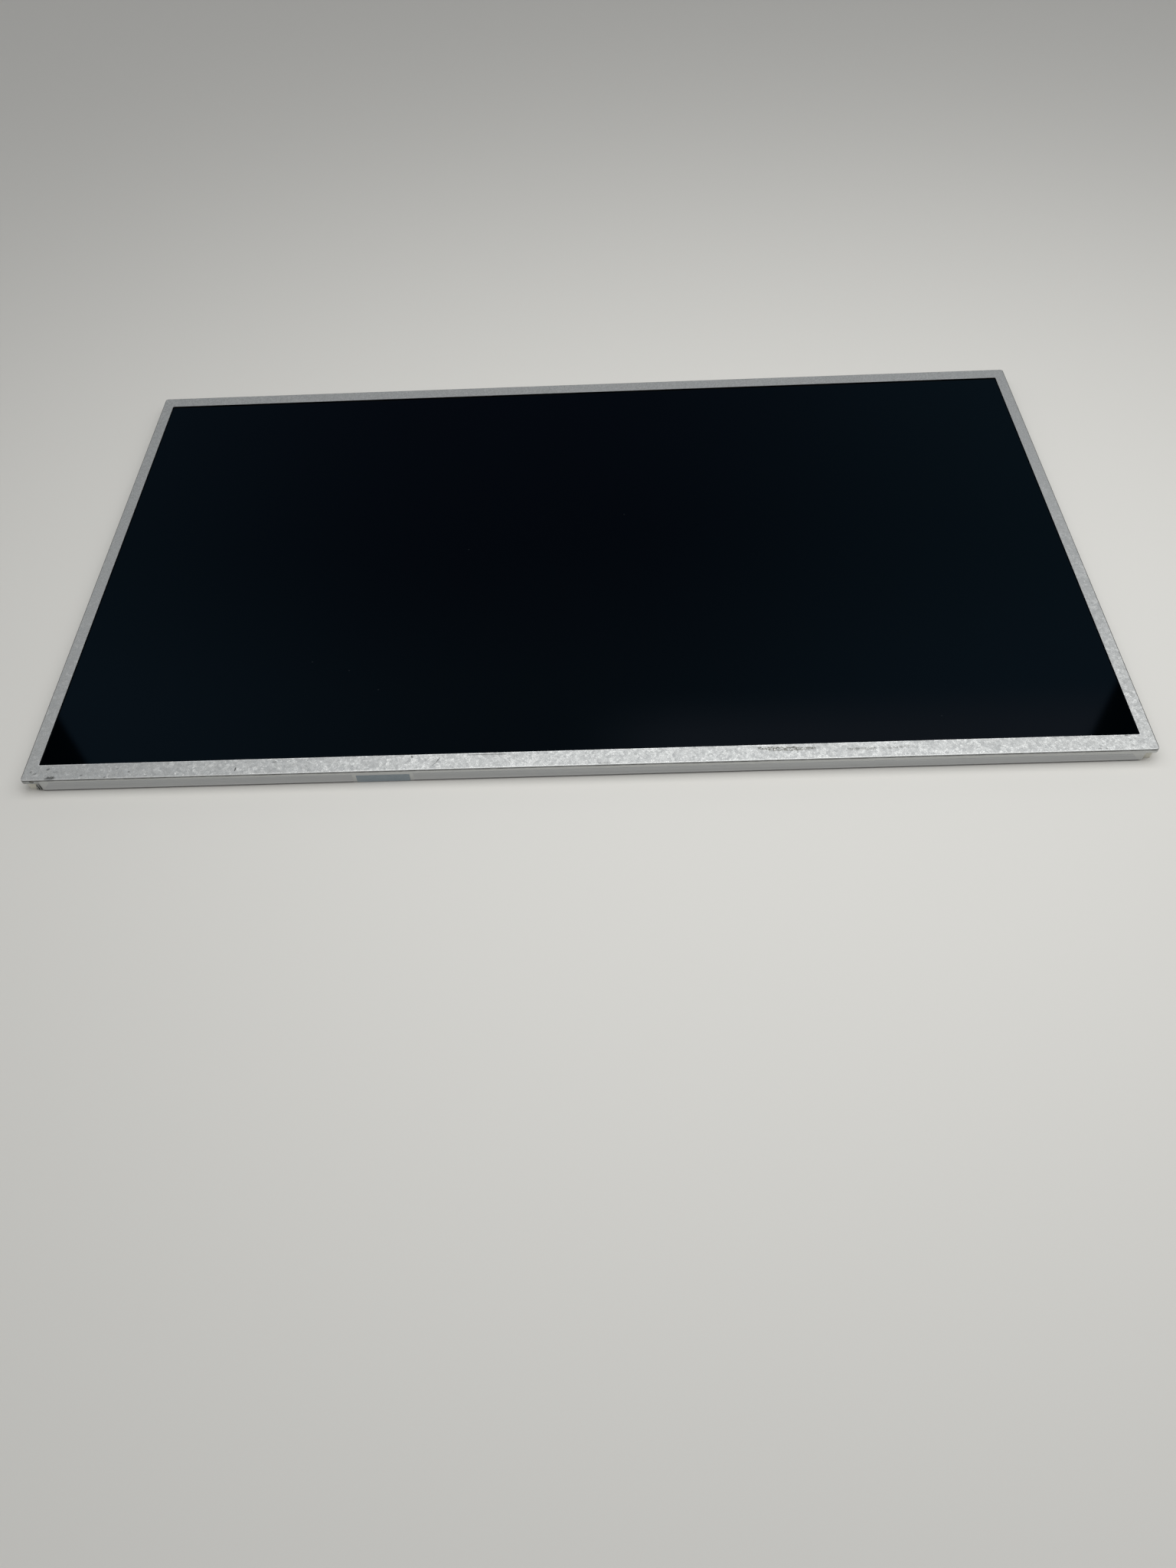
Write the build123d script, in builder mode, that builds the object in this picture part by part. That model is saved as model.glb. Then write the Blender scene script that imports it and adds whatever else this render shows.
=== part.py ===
from build123d import *
import os

# Edge-lit liquid-crystal screen panel of a laptop, lying on its back with the screen up.
# X runs along the long side, Y away from the driver edge, Z out of the screen.
# The origin is on the table, under the middle of the panel. Sizes are in millimetres.

# Front bezel, folded from galvanised sheet
panel_width = 359.3
panel_height = 209.5
bezel_sheet = 0.3
bend_inside = 0.1
bezel_corner = 1.1
window_corner = 0.5
wall_lift = 0.45
corner_lip = 1.65
relief_at_lip = 3.9
relief_at_foot = 4.1
side_relief = 4.2
tear_depth = 0.9

# Damage at the near left corner: distance in from the left side and rise above the wall's foot,
# or, for the pleats of the buckled end, depth behind the wall's face at the foot
pleats = [(6.2, 0.0), (5.7, 0.0), (5.3, 0.42), (4.95, 0.05), (4.55, 0.45), (4.2, 0.08),
          (3.8, 0.45), (3.3, 0.1)]
pleat_lean = 0.2
torn_edge = [(3.75, 0.0), (3.5, 0.3), (3.95, 0.75), (3.65, 1.1), (4.3, 1.6), (3.95, 2.0), (4.5, 2.5),
             (4.25, 2.85), (4.6, 3.3), (1.2, 3.4)]
gash_edge = [(2.7, 4.3), (3.1, 4.6), (3.7, 4.5), (4.25, 4.3), (4.05, 3.9), (3.5, 3.7), (3.2, 4.0)]
dent_in = 10.0
dent_setback = 0.85
dent_radius = 3.0
dent_depth = 0.15

# Mould frame
frame_gap = 0.15
driver_gap = 0.7
frame_top_gap = 0.1
rim_wall = 1.4
frame_corner = 1.3
cell_gap = 0.4
sheet_gap = 0.4
inner_corner = 1.4

# Latches between mould frame and bezel, and catches under the rear cover
latch_length = 8.0
latch_height = 0.8
latch_gap = 0.2
latch_bite = 0.25
latch_rise = 0.6
side_latch_inset = 16.75
far_latch_inset = 44.65
side_latch_count = 3
far_latch_count = 4
catch_length = 10.0
catch_height = 0.5
catch_bite = 0.5
side_catch_inset = 32.0
far_catch_inset = 67.0
catch_count = 3

# Mounting screws in the short sides
screw_spacing = 120.0
screw_rise = 0.34
screw_clear_radius = 1.2
thread_radius = 0.8
nut_thickness = 1.6
nut_length = 5.0
nut_height = 2.4
nut_gap = 0.05
nut_wall = 0.4

# Liquid-crystal cell
glass_thickness = 0.4
glass_corner = 0.6
polarizer_thickness = 0.18
polarizer_inset = 0.25
side_overlap = 2.15
far_overlap = 3.65
near_overlap = 0.75
bezel_gap = 0.08
driver_length = 18.0
driver_width = 1.0
driver_height = 0.3
driver_pitch = 84.0
driver_count = 4
driver_margin = 0.25
bond_width = 1.15

# Backlight
black_border_side = 3.15
black_border_end = 1.95
guide_margin = 1.6
guide_thickness = 0.8
diffuser_thickness = 0.12
prism_thickness = 0.155
reflector_thickness = 0.19
rim_tape_thickness = 0.06
rim_tape_margin = 0.9
rim_tape_gap = 0.2
ear_reach = 1.2
ear_length = 8.0
ear_spacing = 130.0
lamp_length = 3.8
lamp_depth = 0.7
lamp_height = 0.8
lamp_pitch = 7.2
lamp_gap = 0.1
strip_width = 1.9
strip_inset = 1.7
strip_gap = 0.4

# Rear cover, thin aluminium sheet with two pressed beads
cover_sheet = 0.3
cover_gap = 0.2
cover_corner = 2.0
bead_depth = 0.25
bead_width = 7.0
bead_inset = 40.0
bead_spacing = 90.0

# Driver board and its flex circuits
board_inset = 29.5
board_width = 12.5
board_thickness = 0.6
board_corner = 0.8
board_tape_thickness = 0.1
board_tape_margin = 2.5
flex_thickness = 0.1
flex_width = 40.0
flex_inset = 64.0
flex_wall_gap = 0.15
flex_bend = 0.45
flex_slot_gap = 0.25
flex_bond_on_board = 2.0
tail_width = 6.0
tail_reach = 1.0
tail_bend = 0.25
tail_gap = 0.25

# Parts on the board
part_gap = 0.06
chip_chamfer = 0.08
controller_side = 9.0
controller_height = 0.8
controller_place = -14.0
memory_length = 3.0
memory_width = 2.0
memory_height = 0.6
memory_place = -27.0
lamp_driver_side = 4.0
lamp_driver_height = 0.75
lamp_driver_place = 13.0
inductor_side = 4.4
inductor_height = 0.82
inductor_chamfer = 0.9
inductor_place = 21.0
inductor_pitch = 6.5
inductor_count = 2
capacitor_length = 1.6
capacitor_width = 0.8
capacitor_height = 0.7
capacitor_pitch = 3.2
capacitor_row = 4.0
capacitor_columns = 7
capacitor_place = 12.0

# Lamp connector and video connector
lamp_plug_inset = 22.0
lamp_plug_length = 9.0
lamp_plug_depth = 3.4
lamp_plug_height = 0.85
lamp_plug_setback = 1.4
slot_gap = 0.05
tail_engagement = 1.8
plug_inset = 40.0
plug_length = 24.0
plug_depth = 4.2
plug_height = 1.1
plug_wall = 0.9
plug_shell_sheet = 0.12
plug_shell_gap = 0.02
plug_mouth_height = 0.5
plug_mouth_depth = 3.0
contact_pitch = 0.5
contact_count = 40
contact_width = 0.22
contact_thickness = 0.12
contact_tail = 0.9
contact_gap = 0.02
table_gap = 0.2

# Board cover film and earthing tape
film_thickness = 0.08
film_left_inset = 5.95
film_right_inset = 5.1
flap_left_height = 3.6
flap_right_height = 3.0
flap_slant = 2.8
film_slope_gap = 0.6
film_slope_run = 1.6
film_stick = 5.5
film_gap_width = 19.6
film_cut_margin = 1.2
tape_thickness = 0.1
tape_width = 17.0
tape_height = 2.95
tape_return = 6.0
tape_place = -63.9

# How far a cutting shape reaches past the surface that it cuts
cut_over = 1.0

# Levels, from the table up
tallest_part = max(controller_height, memory_height, lamp_driver_height, inductor_height,
                   capacitor_height, lamp_plug_height)
board_rear = max(wall_lift + part_gap + tallest_part, table_gap + plug_height)
board_front = board_rear + board_thickness
cover_rear = board_front + board_tape_thickness
cover_front = cover_rear + cover_sheet
guide_rear = cover_front + reflector_thickness
guide_front = guide_rear + guide_thickness
lower_prism_level = guide_front + diffuser_thickness
upper_prism_level = lower_prism_level + prism_thickness
upper_diffuser_level = upper_prism_level + prism_thickness
ledge_level = upper_diffuser_level + diffuser_thickness
cell_rear = ledge_level + rim_tape_thickness
array_rear = cell_rear + polarizer_thickness
array_front = array_rear + glass_thickness
filter_front = array_front + glass_thickness
screen_level = filter_front + polarizer_thickness
bezel_inside = screen_level + bezel_gap
bezel_front = bezel_inside + bezel_sheet
lip_level = bezel_front - corner_lip
pleat_run = Vector(-pleat_lean, 0, lip_level - wall_lift)
pleat_wall = bezel_sheet * 2 ** 0.5
frame_top = bezel_inside - frame_top_gap
screw_level = cover_rear + screw_rise
latch_level = cover_front + latch_rise

# Outlines, from the bezel inwards
half_width = panel_width / 2
half_height = panel_height / 2
frame_side = half_width - bezel_sheet - frame_gap
frame_far = half_height - bezel_sheet - frame_gap
frame_near = -(half_height - bezel_sheet - driver_gap)
pocket_side = frame_side - rim_wall
pocket_far = frame_far - rim_wall
pocket_near = frame_near + rim_wall
cell_side = pocket_side - cell_gap
cell_far = pocket_far - cell_gap
array_near = pocket_near + cell_gap
driver_far = array_near + bond_width + driver_margin + driver_width
filter_near = driver_far + driver_margin
window_side = cell_side - side_overlap
window_far = cell_far - far_overlap
window_near = filter_near + near_overlap
view_side = window_side - black_border_side
view_far = window_far - black_border_end
view_near = window_near + black_border_end
guide_side = view_side + guide_margin
guide_far = view_far + guide_margin
guide_near = view_near - guide_margin
guide_middle = (guide_near + guide_far) / 2
strip_far = guide_near - lamp_gap
strip_near = strip_far - strip_width
strip_side = guide_side - strip_inset
foot_width = nut_thickness + nut_wall
recess_side = frame_side - foot_width
recess_far = frame_far - foot_width
recess_near = pocket_near
cover_side = recess_side - cover_gap
cover_far = recess_far - cover_gap
cover_near = recess_near + cover_gap
tail_inner = strip_near - tail_reach
board_near = tail_inner + tail_gap
board_far = board_near + board_width
board_middle = (board_near + board_far) / 2
board_side = half_width - board_inset
film_left = film_left_inset - half_width
film_right = half_width - film_right_inset
flex_inner = -(half_height - bezel_sheet - flex_wall_gap - flex_thickness)
lamp_plug_x = -board_side + lamp_plug_inset
plug_x = board_side - plug_inset
plug_near = board_far - plug_depth


def spread(reach, count):
    """Even places from one reach below zero to one reach above it."""
    return [reach * (2 * n / (count - 1) - 1) for n in range(count)]


# Places that repeat
side_latches = spread(half_height - side_latch_inset, side_latch_count)
far_latches = spread(half_width - far_latch_inset, far_latch_count)
side_catches = spread(recess_far - side_catch_inset, catch_count)
far_catches = spread(recess_side - far_catch_inset, catch_count)
screw_places = [-screw_spacing / 2, screw_spacing / 2]
ear_places = [guide_middle - ear_spacing / 2, guide_middle + ear_spacing / 2]
flex_places = {"left": flex_inset - board_side, "right": board_side - flex_inset}


def keep(piece, label):
    """Name a finished piece and write its file."""
    piece.part.label = label
    export_step(piece.part, f"parts/{label}.step")


def plate(half, near, far, corner):
    """Draw a rounded rectangle centred on X, from its near edge to its far edge."""
    with Locations((0, (near + far) / 2)):
        RectangleRounded(2 * half, far - near, corner)


def guide_outline(gap):
    """Draw the outline of the light guide with its locating ears, grown by a gap all round."""
    with Locations((0, guide_middle)):
        Rectangle(2 * (guide_side + gap), guide_far - guide_near + 2 * gap)
    with Locations(*[(end * (guide_side + gap), y) for end in (-1, 1) for y in ear_places]):
        Rectangle(2 * ear_reach, ear_length + 2 * gap)


def cell_layer(label, level, thickness, inset, near):
    """Make one layer of the liquid-crystal cell, inset from the glass on its other three sides."""
    with BuildPart() as layer:
        with BuildSketch(Plane.XY.offset(level)):
            plate(cell_side - inset, near, cell_far - inset, glass_corner)
        extrude(amount=thickness)
    keep(layer, label)


def backlight_sheet(label, level, thickness):
    """Make one sheet of the backlight with the light guide's outline."""
    with BuildPart() as sheet:
        with BuildSketch(Plane.XY.offset(level)):
            guide_outline(0)
        extrude(amount=thickness)
    keep(sheet, label)


def board_chip(label, x, length, width, height):
    """Make a moulded chip on the board's rear face, with its outer edges broken."""
    with BuildPart() as chip:
        with Locations((x, board_middle, board_rear)):
            Box(length, width, height, align=(Align.CENTER, Align.CENTER, Align.MAX))
        chamfer(chip.faces().sort_by(Axis.Z)[0].edges(), chip_chamfer)
    keep(chip, label)


os.makedirs("parts", exist_ok=True)

# Front bezel: a drawn tray with a window, corner reliefs in its walls, latch windows and screw holes
with BuildPart() as front_bezel:
    with BuildSketch(Plane.XY.offset(wall_lift)):
        RectangleRounded(panel_width, panel_height, bezel_corner)
    extrude(amount=bezel_front - wall_lift)
    fillet(front_bezel.faces().sort_by(Axis.Z)[-1].edges(), bend_inside + bezel_sheet)
    offset(amount=-bezel_sheet, openings=front_bezel.faces().sort_by(Axis.Z)[0])
    with BuildSketch(Plane.XY.offset(bezel_front)):
        plate(window_side, window_near, window_far, window_corner)
    extrude(amount=-2 * bezel_sheet, mode=Mode.SUBTRACT)
    # Each wall stops short of its corner below the drawn lip
    for end in (-1, 1):
        for edge in (-1, 1):
            with BuildSketch(Plane.XZ.offset(-edge * (half_height + cut_over))):
                with BuildLine():
                    Polyline(
                        (end * (half_width + cut_over), wall_lift - cut_over),
                        (end * (half_width - relief_at_foot), wall_lift - cut_over),
                        (end * (half_width - relief_at_foot), wall_lift),
                        (end * (half_width - relief_at_lip), lip_level),
                        (end * (half_width + cut_over), lip_level),
                        close=True,
                    )
                make_face()
            extrude(amount=edge * (side_relief + cut_over), mode=Mode.SUBTRACT)
    # The near left wall end is buckled into leaning pleats
    with BuildSketch(Plane.XZ.offset(half_height + cut_over)):
        with BuildLine():
            Polyline(
                (-half_width - cut_over, wall_lift - cut_over),
                (-half_width + pleats[1][0], wall_lift - cut_over),
                (-half_width + pleats[1][0], wall_lift),
                (-half_width + pleats[1][0] - pleat_lean, lip_level),
                (-half_width - cut_over, lip_level),
                close=True,
            )
        make_face()
    extrude(amount=-(cut_over + bezel_sheet), mode=Mode.SUBTRACT)
    with BuildSketch(Plane.XY.offset(wall_lift)):
        with BuildLine():
            Polyline(
                *[(-half_width + inset, -half_height + depth) for inset, depth in pleats],
                *[(-half_width + inset, -half_height + depth + pleat_wall) for inset, depth in pleats[::-1]],
                close=True,
            )
        make_face()
    extrude(amount=pleat_run.length, dir=pleat_run.normalized())
    # Its end is torn: a ragged edge below the lip and a gash in the lip
    with BuildSketch(Plane.XZ.offset(half_height + cut_over)):
        with BuildLine():
            Polyline(
                (-half_width - cut_over, wall_lift - cut_over),
                (-half_width + torn_edge[0][0], wall_lift - cut_over),
                *[(-half_width + inset, wall_lift + rise) for inset, rise in torn_edge],
                (-half_width - cut_over, wall_lift + torn_edge[-1][1]),
                close=True,
            )
        make_face()
        with BuildLine():
            Polyline(*[(-half_width + inset, wall_lift + rise) for inset, rise in gash_edge], close=True)
        make_face()
    extrude(amount=-(cut_over + tear_depth), mode=Mode.SUBTRACT)
    # A knock in the near bend
    dent_level = bezel_front - dent_depth + dent_radius
    with Locations((-half_width + dent_in, -half_height + dent_setback, dent_level)):
        Sphere(dent_radius, mode=Mode.SUBTRACT)
    # Screw holes and latch windows
    with BuildSketch(Plane.YZ):
        with Locations(*[(y, screw_level) for y in screw_places]):
            Circle(screw_clear_radius)
        with Locations(*[(y, latch_level) for y in side_latches]):
            Rectangle(latch_length + 2 * latch_gap, latch_height + 2 * latch_gap)
    extrude(amount=half_width + cut_over, both=True, mode=Mode.SUBTRACT)
    with BuildSketch(Plane.XZ.offset(-(half_height + cut_over))):
        with Locations(*[(x, latch_level) for x in far_latches]):
            Rectangle(latch_length + 2 * latch_gap, latch_height + 2 * latch_gap)
    extrude(amount=cut_over + 2 * bezel_sheet, mode=Mode.SUBTRACT)
keep(front_bezel, "front_bezel")

# Mould frame: a stepped ring that seats the glass, the sheets, the lamps and the rear cover
with BuildPart() as mould_frame:
    with BuildSketch():
        plate(frame_side, frame_near, frame_far, frame_corner)
    extrude(amount=frame_top)
    with BuildSketch(Plane.XY.offset(ledge_level)):
        plate(pocket_side, pocket_near, pocket_far, inner_corner)
    extrude(amount=frame_top - ledge_level, mode=Mode.SUBTRACT)
    with BuildSketch(Plane.XY.offset(cover_rear)):
        guide_outline(sheet_gap)
    extrude(amount=frame_top - cover_rear, mode=Mode.SUBTRACT)
    with BuildSketch():
        plate(recess_side, recess_near, recess_far, inner_corner)
    extrude(amount=cover_front, mode=Mode.SUBTRACT)
    # Channel for the row of lamps under the near ledge
    with BuildSketch(Plane.XY.offset(cover_front)):
        with Locations((0, strip_near - strip_gap)):
            Rectangle(2 * (strip_side + strip_gap), strip_gap + strip_width + lamp_gap,
                      align=(Align.CENTER, Align.MIN))
    extrude(amount=flex_thickness + lamp_height + lamp_gap, mode=Mode.SUBTRACT)
    # Way out for the lamp tail
    with BuildSketch(Plane.XY.offset(cover_front)):
        with Locations((lamp_plug_x, tail_inner - flex_thickness - tail_gap)):
            Rectangle(tail_width + 2 * tail_gap, tail_reach + flex_thickness + tail_gap,
                      align=(Align.CENTER, Align.MIN))
    extrude(amount=flex_thickness + tail_gap, mode=Mode.SUBTRACT)
    # The near foot is left out along the board, and the rim is cut down under each flex
    with BuildSketch():
        with Locations((film_left - cell_gap, frame_near - cut_over)):
            Rectangle(film_right - film_left + 2 * cell_gap, rim_wall + 2 * cut_over,
                      align=(Align.MIN, Align.MIN))
    extrude(amount=cover_rear, mode=Mode.SUBTRACT)
    with BuildSketch(Plane.XY.offset(array_front - flex_slot_gap)):
        with Locations(*[(x, frame_near - cut_over) for x in flex_places.values()]):
            Rectangle(flex_width + 2 * cell_gap, rim_wall + 2 * cut_over, align=(Align.CENTER, Align.MIN))
    extrude(amount=frame_top, mode=Mode.SUBTRACT)
    # Pockets for the side nuts
    for end, side_align in ((-1, Align.MIN), (1, Align.MAX)):
        with Locations(*[(end * frame_side, y, screw_level) for y in screw_places]):
            Box(nut_thickness, nut_length + 2 * nut_gap, nut_height + 2 * nut_gap,
                align=(side_align, Align.CENTER, Align.CENTER), mode=Mode.SUBTRACT)
    # Wedge latches that snap into the bezel's windows
    for y in side_latches:
        with BuildSketch(Plane.XZ.offset(-y)):
            with BuildLine():
                Polyline(
                    (frame_side, latch_level - latch_height / 2),
                    (frame_side + frame_gap + latch_bite, latch_level - latch_height / 2),
                    (frame_side + frame_gap + latch_bite, latch_level),
                    (frame_side, latch_level + latch_height / 2),
                    close=True,
                )
            make_face()
            mirror(about=Plane.YZ)
        extrude(amount=latch_length / 2, both=True)
    for x in far_latches:
        with BuildSketch(Plane.YZ.offset(x)):
            with BuildLine():
                Polyline(
                    (frame_far, latch_level - latch_height / 2),
                    (frame_far + frame_gap + latch_bite, latch_level - latch_height / 2),
                    (frame_far + frame_gap + latch_bite, latch_level),
                    (frame_far, latch_level + latch_height / 2),
                    close=True,
                )
            make_face()
        extrude(amount=latch_length / 2, both=True)
    # Catches that hold the rear cover's edge
    with BuildSketch(Plane.XY.offset(cover_rear)):
        for end, side_align in ((-1, Align.MIN), (1, Align.MAX)):
            with Locations(*[(end * recess_side, y) for y in side_catches]):
                Rectangle(cover_gap + catch_bite, catch_length, align=(side_align, Align.CENTER))
        with Locations(*[(x, recess_far) for x in far_catches]):
            Rectangle(catch_length, cover_gap + catch_bite, align=(Align.CENTER, Align.MAX))
    extrude(amount=-catch_height)
keep(mould_frame, "mould_frame")

# Nuts behind the screw holes, flush with the mould frame
with BuildPart() as side_nuts:
    for end, side_align in ((-1, Align.MIN), (1, Align.MAX)):
        with Locations(*[(end * frame_side, y, screw_level) for y in screw_places]):
            Box(nut_thickness, nut_length, nut_height, align=(side_align, Align.CENTER, Align.CENTER))
    with BuildSketch(Plane.YZ):
        with Locations(*[(y, screw_level) for y in screw_places]):
            Circle(thread_radius)
    extrude(amount=half_width, both=True, mode=Mode.SUBTRACT)
keep(side_nuts, "side_nuts")

# Liquid-crystal cell, from the back to the front
cell_layer("rear_polarizer", cell_rear, polarizer_thickness, polarizer_inset, array_near + polarizer_inset)
cell_layer("array_glass", array_rear, glass_thickness, 0, array_near)
cell_layer("filter_glass", array_front, glass_thickness, 0, filter_near)
cell_layer("front_polarizer", filter_front, polarizer_thickness, polarizer_inset,
           filter_near + polarizer_inset)

# Source driver chips on the bare ledge of the array glass
with BuildPart() as source_drivers:
    with Locations((0, driver_far, array_front)):
        with GridLocations(driver_pitch, 0, driver_count, 1):
            Box(driver_length, driver_width, driver_height, align=(Align.CENTER, Align.MAX, Align.MIN))
keep(source_drivers, "source_drivers")

# Flex circuits from the ledge, round the mould frame's edge, to the board's rear face
for side, place in flex_places.items():
    with BuildPart() as source_flex:
        with BuildSketch(Plane.YZ.offset(place - flex_width / 2)):
            with BuildLine():
                FilletPolyline(
                    (array_near + bond_width, array_front),
                    (flex_inner, array_front),
                    (flex_inner, board_rear),
                    (board_near + flex_bond_on_board, board_rear),
                    radius=flex_bend,
                )
                offset(amount=flex_thickness, side=Side.RIGHT)
            make_face()
        extrude(amount=flex_width)
    keep(source_flex, f"source_flex_{side}")

# Rim tape between the glass and the mould frame's ledge, lapping over the top sheet
with BuildPart() as rim_tape:
    with BuildSketch(Plane.XY.offset(ledge_level)):
        plate(pocket_side - rim_tape_gap, pocket_near + rim_tape_gap, pocket_far - rim_tape_gap, inner_corner)
        with Locations((0, (view_near + view_far) / 2)):
            Rectangle(2 * (view_side + rim_tape_margin), view_far - view_near + 2 * rim_tape_margin,
                      mode=Mode.SUBTRACT)
    extrude(amount=rim_tape_thickness)
keep(rim_tape, "rim_tape")

# Backlight, from the back to the front
backlight_sheet("reflector_sheet", cover_front, reflector_thickness)
backlight_sheet("light_guide", guide_rear, guide_thickness)
backlight_sheet("lower_diffuser", guide_front, diffuser_thickness)
backlight_sheet("lower_prism_sheet", lower_prism_level, prism_thickness)
backlight_sheet("upper_prism_sheet", upper_prism_level, prism_thickness)
backlight_sheet("upper_diffuser", upper_diffuser_level, diffuser_thickness)

# Lamp flex: a strip along the light guide's near edge, with a tail that goes round to the board
tail_level = board_rear - lamp_plug_height / 2 + flex_thickness / 2
lamp_plug_near = board_near + lamp_plug_setback
with BuildPart() as lamp_flex:
    with BuildSketch(Plane.XY.offset(cover_front)):
        with Locations((0, strip_near)):
            Rectangle(2 * strip_side, strip_width, align=(Align.CENTER, Align.MIN))
    extrude(amount=flex_thickness)
    with BuildSketch(Plane.YZ.offset(lamp_plug_x - tail_width / 2)):
        with BuildLine():
            FilletPolyline(
                (strip_near, cover_front),
                (tail_inner, cover_front),
                (tail_inner, tail_level),
                (lamp_plug_near + tail_engagement, tail_level),
                radius=tail_bend,
            )
            offset(amount=flex_thickness, side=Side.RIGHT)
        make_face()
    extrude(amount=tail_width)
keep(lamp_flex, "lamp_flex")

# Lamps: side-view packages on the strip, facing the light guide
lamp_count = int((2 * strip_side - lamp_length) // lamp_pitch) + 1
with BuildPart() as lamps:
    with Locations((0, strip_far, cover_front + flex_thickness)):
        with GridLocations(lamp_pitch, 0, lamp_count, 1):
            Box(lamp_length, lamp_depth, lamp_height, align=(Align.CENTER, Align.MAX, Align.MIN))
keep(lamps, "lamps")

# Rear cover: a flat sheet with two pressed beads and a notch for the lamp tail
with BuildPart() as rear_cover:
    with BuildSketch(Plane.XY.offset(cover_rear)):
        plate(cover_side, cover_near, cover_far, cover_corner)
        with Locations((lamp_plug_x, board_near)):
            Rectangle(tail_width + 2 * tail_gap, board_near - cover_near + cut_over,
                      align=(Align.CENTER, Align.MAX), mode=Mode.SUBTRACT)
    extrude(amount=cover_sheet)
    with BuildSketch(Plane.XY.offset(cover_rear)):
        with GridLocations(0, bead_spacing, 1, 2):
            SlotOverall(2 * (cover_side - bead_inset), bead_width)
    extrude(amount=-bead_depth)
    with BuildSketch(Plane.XY.offset(cover_front)):
        with GridLocations(0, bead_spacing, 1, 2):
            SlotOverall(2 * (cover_side - bead_inset - cover_sheet), bead_width - 2 * cover_sheet)
    extrude(amount=-bead_depth, mode=Mode.SUBTRACT)
keep(rear_cover, "rear_cover")

# Driver board and the tape that holds it to the rear cover
with BuildPart() as driver_board:
    with BuildSketch(Plane.XY.offset(board_rear)):
        plate(board_side, board_near, board_far, board_corner)
    extrude(amount=board_thickness)
keep(driver_board, "driver_board")

with BuildPart() as board_tape:
    with BuildSketch(Plane.XY.offset(board_front)):
        plate(board_side - board_tape_margin, board_near + board_tape_margin, board_far - board_tape_margin,
              board_corner)
    extrude(amount=board_tape_thickness)
keep(board_tape, "board_tape")

# Chips and passive parts on the board's rear face
board_chip("timing_controller", controller_place, controller_side, controller_side, controller_height)
board_chip("memory_chip", memory_place, memory_length, memory_width, memory_height)
board_chip("lamp_driver", lamp_plug_x + lamp_driver_place, lamp_driver_side, lamp_driver_side,
           lamp_driver_height)

with BuildPart() as power_inductors:
    with BuildSketch(Plane.XY.offset(board_rear)) as cores:
        for n in range(inductor_count):
            with Locations((lamp_plug_x + inductor_place + n * inductor_pitch, board_middle)):
                Rectangle(inductor_side, inductor_side)
        chamfer(cores.vertices(), inductor_chamfer)
    extrude(amount=-inductor_height)
keep(power_inductors, "power_inductors")

with BuildPart() as board_capacitors:
    with Locations((controller_place + capacitor_place + capacitor_pitch * (capacitor_columns - 1) / 2,
                    board_middle, board_rear)):
        with GridLocations(capacitor_pitch, capacitor_row, capacitor_columns, 2):
            Box(capacitor_length, capacitor_width, capacitor_height,
                align=(Align.CENTER, Align.CENTER, Align.MAX))
keep(board_capacitors, "board_capacitors")

# Lamp connector with a slot for the tail
with BuildPart() as lamp_connector:
    with Locations((lamp_plug_x, lamp_plug_near, board_rear)):
        Box(lamp_plug_length, lamp_plug_depth, lamp_plug_height, align=(Align.CENTER, Align.MIN, Align.MAX))
    with Locations((lamp_plug_x, lamp_plug_near, tail_level - flex_thickness / 2)):
        Box(tail_width + 2 * slot_gap, tail_engagement + slot_gap, flex_thickness + 2 * slot_gap,
            align=(Align.CENTER, Align.MIN, Align.CENTER), mode=Mode.SUBTRACT)
keep(lamp_connector, "lamp_connector")

# Video connector: moulded housing with its mouth away from the driver edge
housing_height = plug_height - plug_shell_sheet - plug_shell_gap
contact_places = [(n - (contact_count - 1) / 2) * contact_pitch + plug_x for n in range(contact_count)]
with BuildPart() as video_connector:
    with Locations((plug_x, plug_near, board_rear)):
        Box(plug_length - 2 * (plug_shell_sheet + plug_shell_gap), plug_depth, housing_height,
            align=(Align.CENTER, Align.MIN, Align.MAX))
    with Locations((plug_x, board_far, board_rear - contact_thickness)):
        Box(contact_pitch * contact_count + plug_wall, plug_mouth_depth, plug_mouth_height,
            align=(Align.CENTER, Align.MAX, Align.MAX), mode=Mode.SUBTRACT)
    with Locations(*[(x, plug_near, board_rear) for x in contact_places]):
        Box(contact_width + 2 * contact_gap, plug_depth, contact_thickness,
            align=(Align.CENTER, Align.MIN, Align.MAX), mode=Mode.SUBTRACT)
keep(video_connector, "video_connector")

# Steel shell folded over the housing's rear and ends
with BuildPart() as connector_shell:
    with Locations((plug_x, plug_near, board_rear)):
        Box(plug_length, plug_depth, plug_height, align=(Align.CENTER, Align.MIN, Align.MAX))
        Box(plug_length - 2 * plug_shell_sheet, plug_depth, plug_height - plug_shell_sheet,
            align=(Align.CENTER, Align.MIN, Align.MAX), mode=Mode.SUBTRACT)
keep(connector_shell, "connector_shell")

# Contacts lying on the board under the housing, with their solder tails behind it
with BuildPart() as connector_contacts:
    with Locations(*[(x, board_far - contact_gap, board_rear) for x in contact_places]):
        Box(contact_width, plug_depth - contact_gap + contact_tail, contact_thickness,
            align=(Align.CENTER, Align.MAX, Align.MAX))
keep(connector_contacts, "connector_contacts")

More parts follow.
